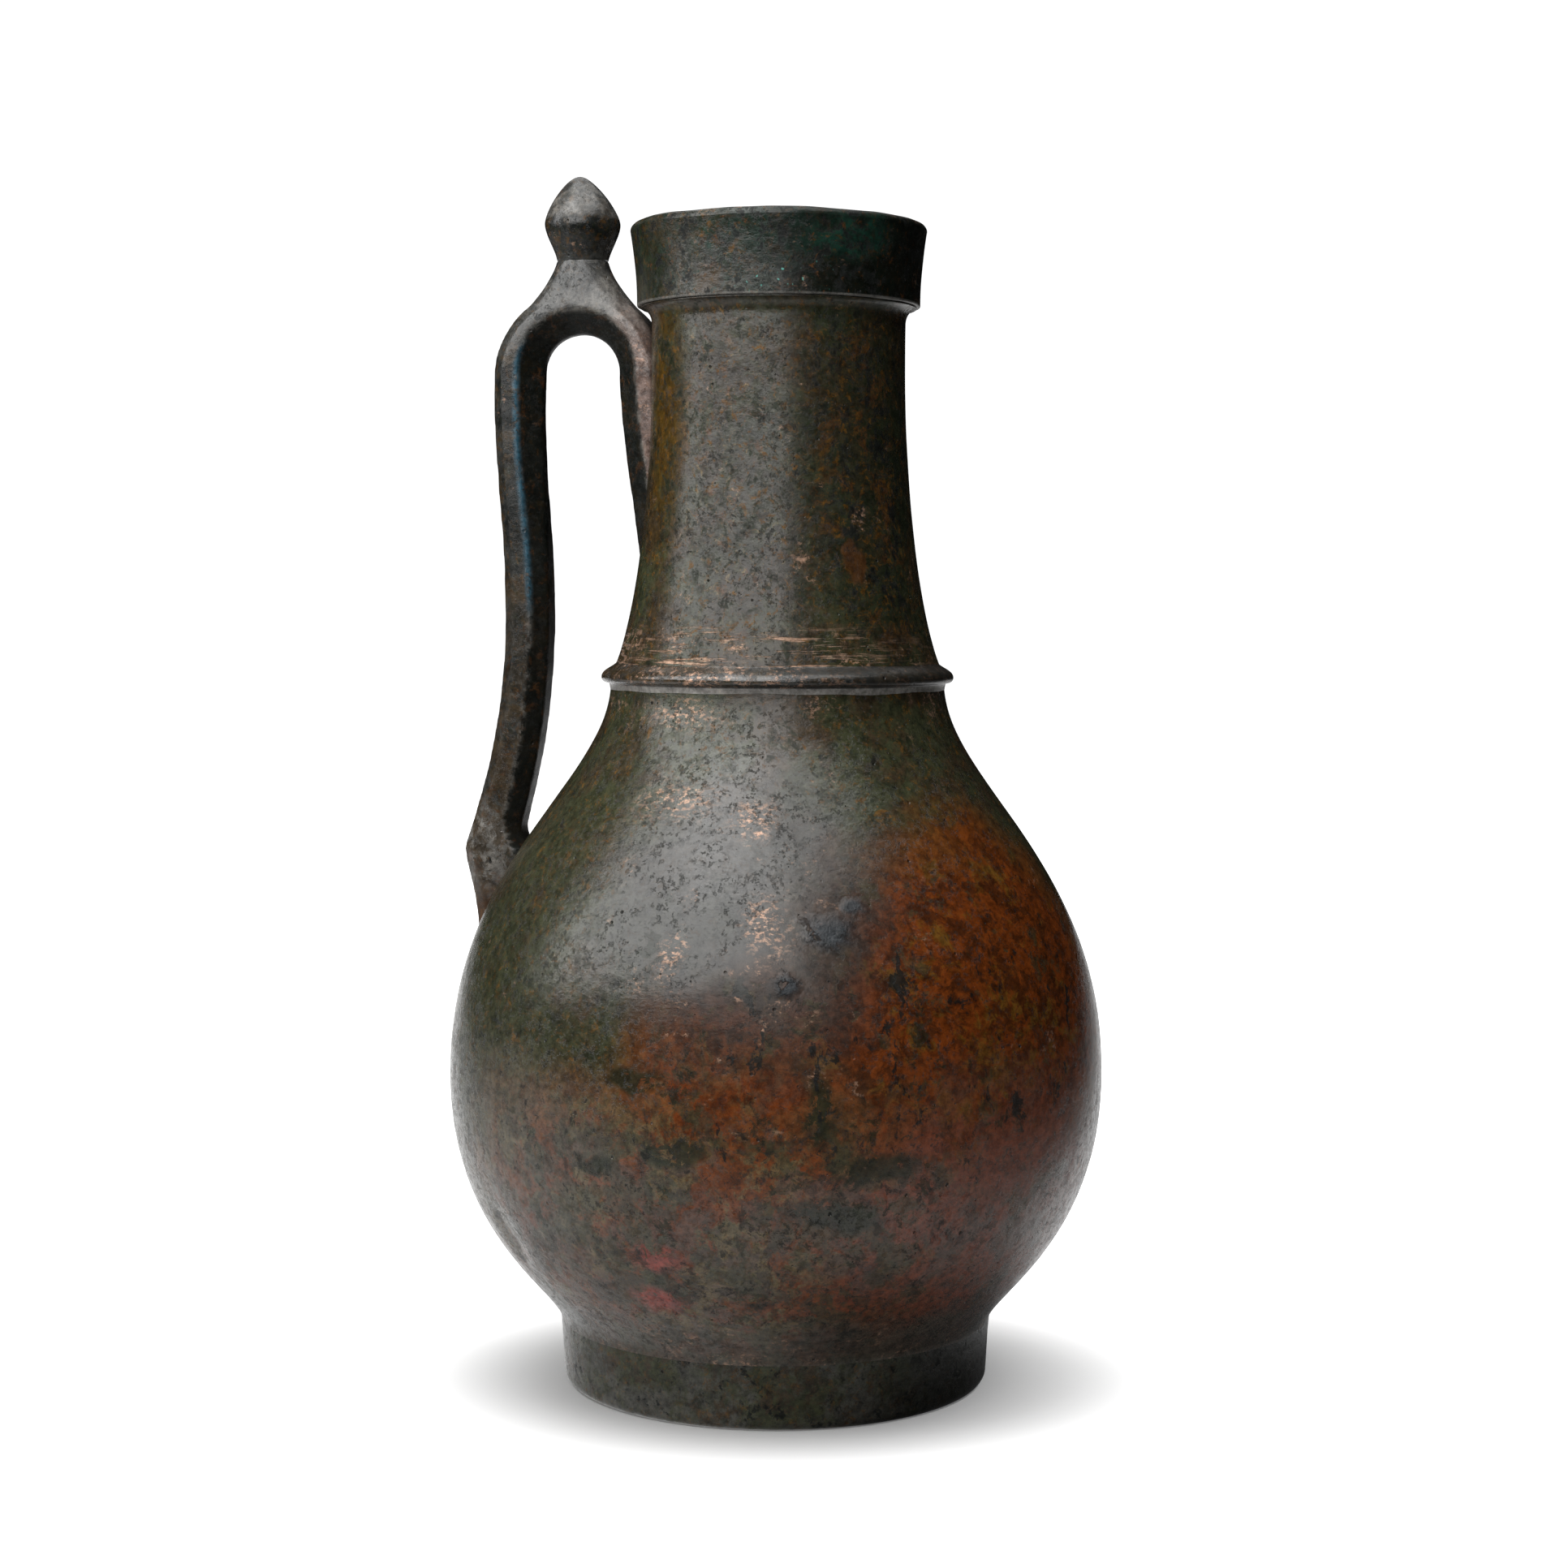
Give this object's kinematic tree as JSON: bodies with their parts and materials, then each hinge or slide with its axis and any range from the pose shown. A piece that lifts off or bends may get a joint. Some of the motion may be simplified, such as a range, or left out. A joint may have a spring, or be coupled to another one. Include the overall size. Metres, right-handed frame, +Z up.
{
  "type": "bronze jug",
  "caption": "Pear-shaped bronze jug on a foot ring, with a tall neck, a flared mouth collar and a looped handle topped by a bud, for holding and pouring liquid.",
  "frame": {"origin": "centre of the foot ring's underside, on the surface that the jug stands on", "axes": "+Z up the jug's axis to the mouth, -X towards the handle, the XZ plane is the mirror plane"},
  "size_m": [0.163, 0.163, 0.3001],
  "materials": {
    "collar_bronze": "dark green-black patina, waxed",
    "neck_bronze": "olive-brown patina, waxed",
    "ring_bronze": "dark patina, rubbed on the bead",
    "belly_bronze": "olive, rust and brick-red patina, waxed",
    "foot_bronze": "dark olive-grey patina, waxed",
    "base_bronze": "dull dark patina",
    "handle_bronze": "dark grey patina, rubbed on the edges",
    "finial_bronze": "dark grey patina, rubbed on the girth",
    "pin_bronze": "dull dark bronze"
  },
  "bodies": {
    "root": {"mouth_collar": "collar_bronze", "neck_tube": "neck_bronze", "neck_ring": "ring_bronze", "belly_shell": "belly_bronze", "foot_ring": "foot_bronze", "base_plate": "base_bronze", "handle_bar": "handle_bronze", "handle_finial": "finial_bronze", "neck_pin_upper": "pin_bronze", "neck_pin_lower": "pin_bronze", "belly_pin_upper": "pin_bronze", "belly_pin_lower": "pin_bronze"}
  },
  "joints": []
}
